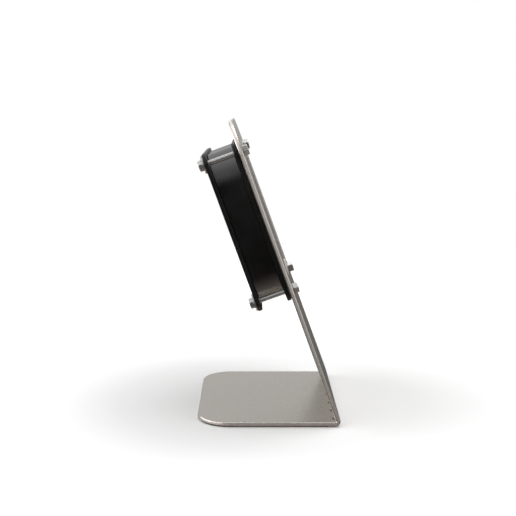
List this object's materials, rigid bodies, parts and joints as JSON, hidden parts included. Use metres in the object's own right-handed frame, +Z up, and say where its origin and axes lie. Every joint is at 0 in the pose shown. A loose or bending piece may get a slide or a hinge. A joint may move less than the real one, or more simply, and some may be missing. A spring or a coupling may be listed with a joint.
{
  "type": "touchscreen kiosk",
  "caption": "Tabletop touchscreen kiosk: a portrait screen behind a window in a leaning steel upright, folded from one sheet with its base, and clamped between black plates.",
  "frame": {"origin": "on the floor, in the middle of the footprint", "axes": "+Z up, -Y towards the user, +X to the user's right"},
  "size_m": [0.19, 0.1428, 0.3012],
  "materials": {
    "brushed_steel_stand": "satin grained stainless sheet, warm grey",
    "bright_fasteners": "bright stainless fasteners",
    "black_plates": "fine black powder coat",
    "black_housing": "satin black moulding",
    "black_screws": "black oxide",
    "screen_glass": "polished cover glass over a dark screen",
    "display_panel": "dark display panel",
    "rubber_pad": "matt black rubber",
    "zinc_parts": "zinc-plated steel",
    "heatsink_metal": "anodised aluminium",
    "circuit_board": "green solder mask",
    "black_parts": "black moulded plastic",
    "flex_film": "amber polyimide film",
    "lead_jacket": "black lead jacket"
  },
  "bodies": {
    "kiosk": {"stand": "brushed_steel_stand", "bolt_1": "bright_fasteners", "bolt_2": "bright_fasteners", "bolt_3": "bright_fasteners", "bolt_4": "bright_fasteners", "nut_1": "bright_fasteners", "nut_2": "bright_fasteners", "nut_3": "bright_fasteners", "nut_4": "bright_fasteners", "washer_1": "bright_fasteners", "washer_2": "bright_fasteners", "washer_3": "bright_fasteners", "washer_4": "bright_fasteners", "front_plate": "black_plates", "rear_plate": "black_plates", "housing": "black_housing", "rear_screw_1": "black_screws", "rear_screw_2": "black_screws", "rear_screw_3": "black_screws", "rear_screw_4": "black_screws", "touch_glass": "screen_glass", "lcd_panel": "display_panel", "base_pad": "rubber_pad", "plate_gasket": "rubber_pad", "chassis_plate": "zinc_parts", "chassis_screw_1": "zinc_parts", "chassis_screw_2": "zinc_parts", "chassis_screw_3": "zinc_parts", "chassis_screw_4": "zinc_parts", "main_standoff_1": "zinc_parts", "main_standoff_2": "zinc_parts", "main_standoff_3": "zinc_parts", "main_standoff_4": "zinc_parts", "main_screw_1": "zinc_parts", "main_screw_2": "zinc_parts", "main_screw_3": "zinc_parts", "main_screw_4": "zinc_parts", "driver_standoff_1": "zinc_parts", "driver_standoff_2": "zinc_parts", "driver_screw_1": "zinc_parts", "driver_screw_2": "zinc_parts", "inlet_nut": "zinc_parts", "button_nut": "zinc_parts", "usb_socket": "zinc_parts", "heatsink": "heatsink_metal", "main_board": "circuit_board", "driver_board": "circuit_board", "power_inlet": "black_parts", "button_housing": "black_parts", "processor": "black_parts", "power_header": "black_parts", "button_header": "black_parts", "display_ribbon": "flex_film", "touch_flex": "flex_film", "inlet_lead": "lead_jacket", "button_lead": "lead_jacket"},
    "power_button": {"button_cap": "bright_fasteners"}
  },
  "joints": [
    {"name": "power_button_press", "type": "slide", "parent": "kiosk", "child": "power_button", "axis": [0, -0.9397, 0.342], "range_m": [0, 0.0015], "stiffness_N_per_m": 1500}
  ]
}
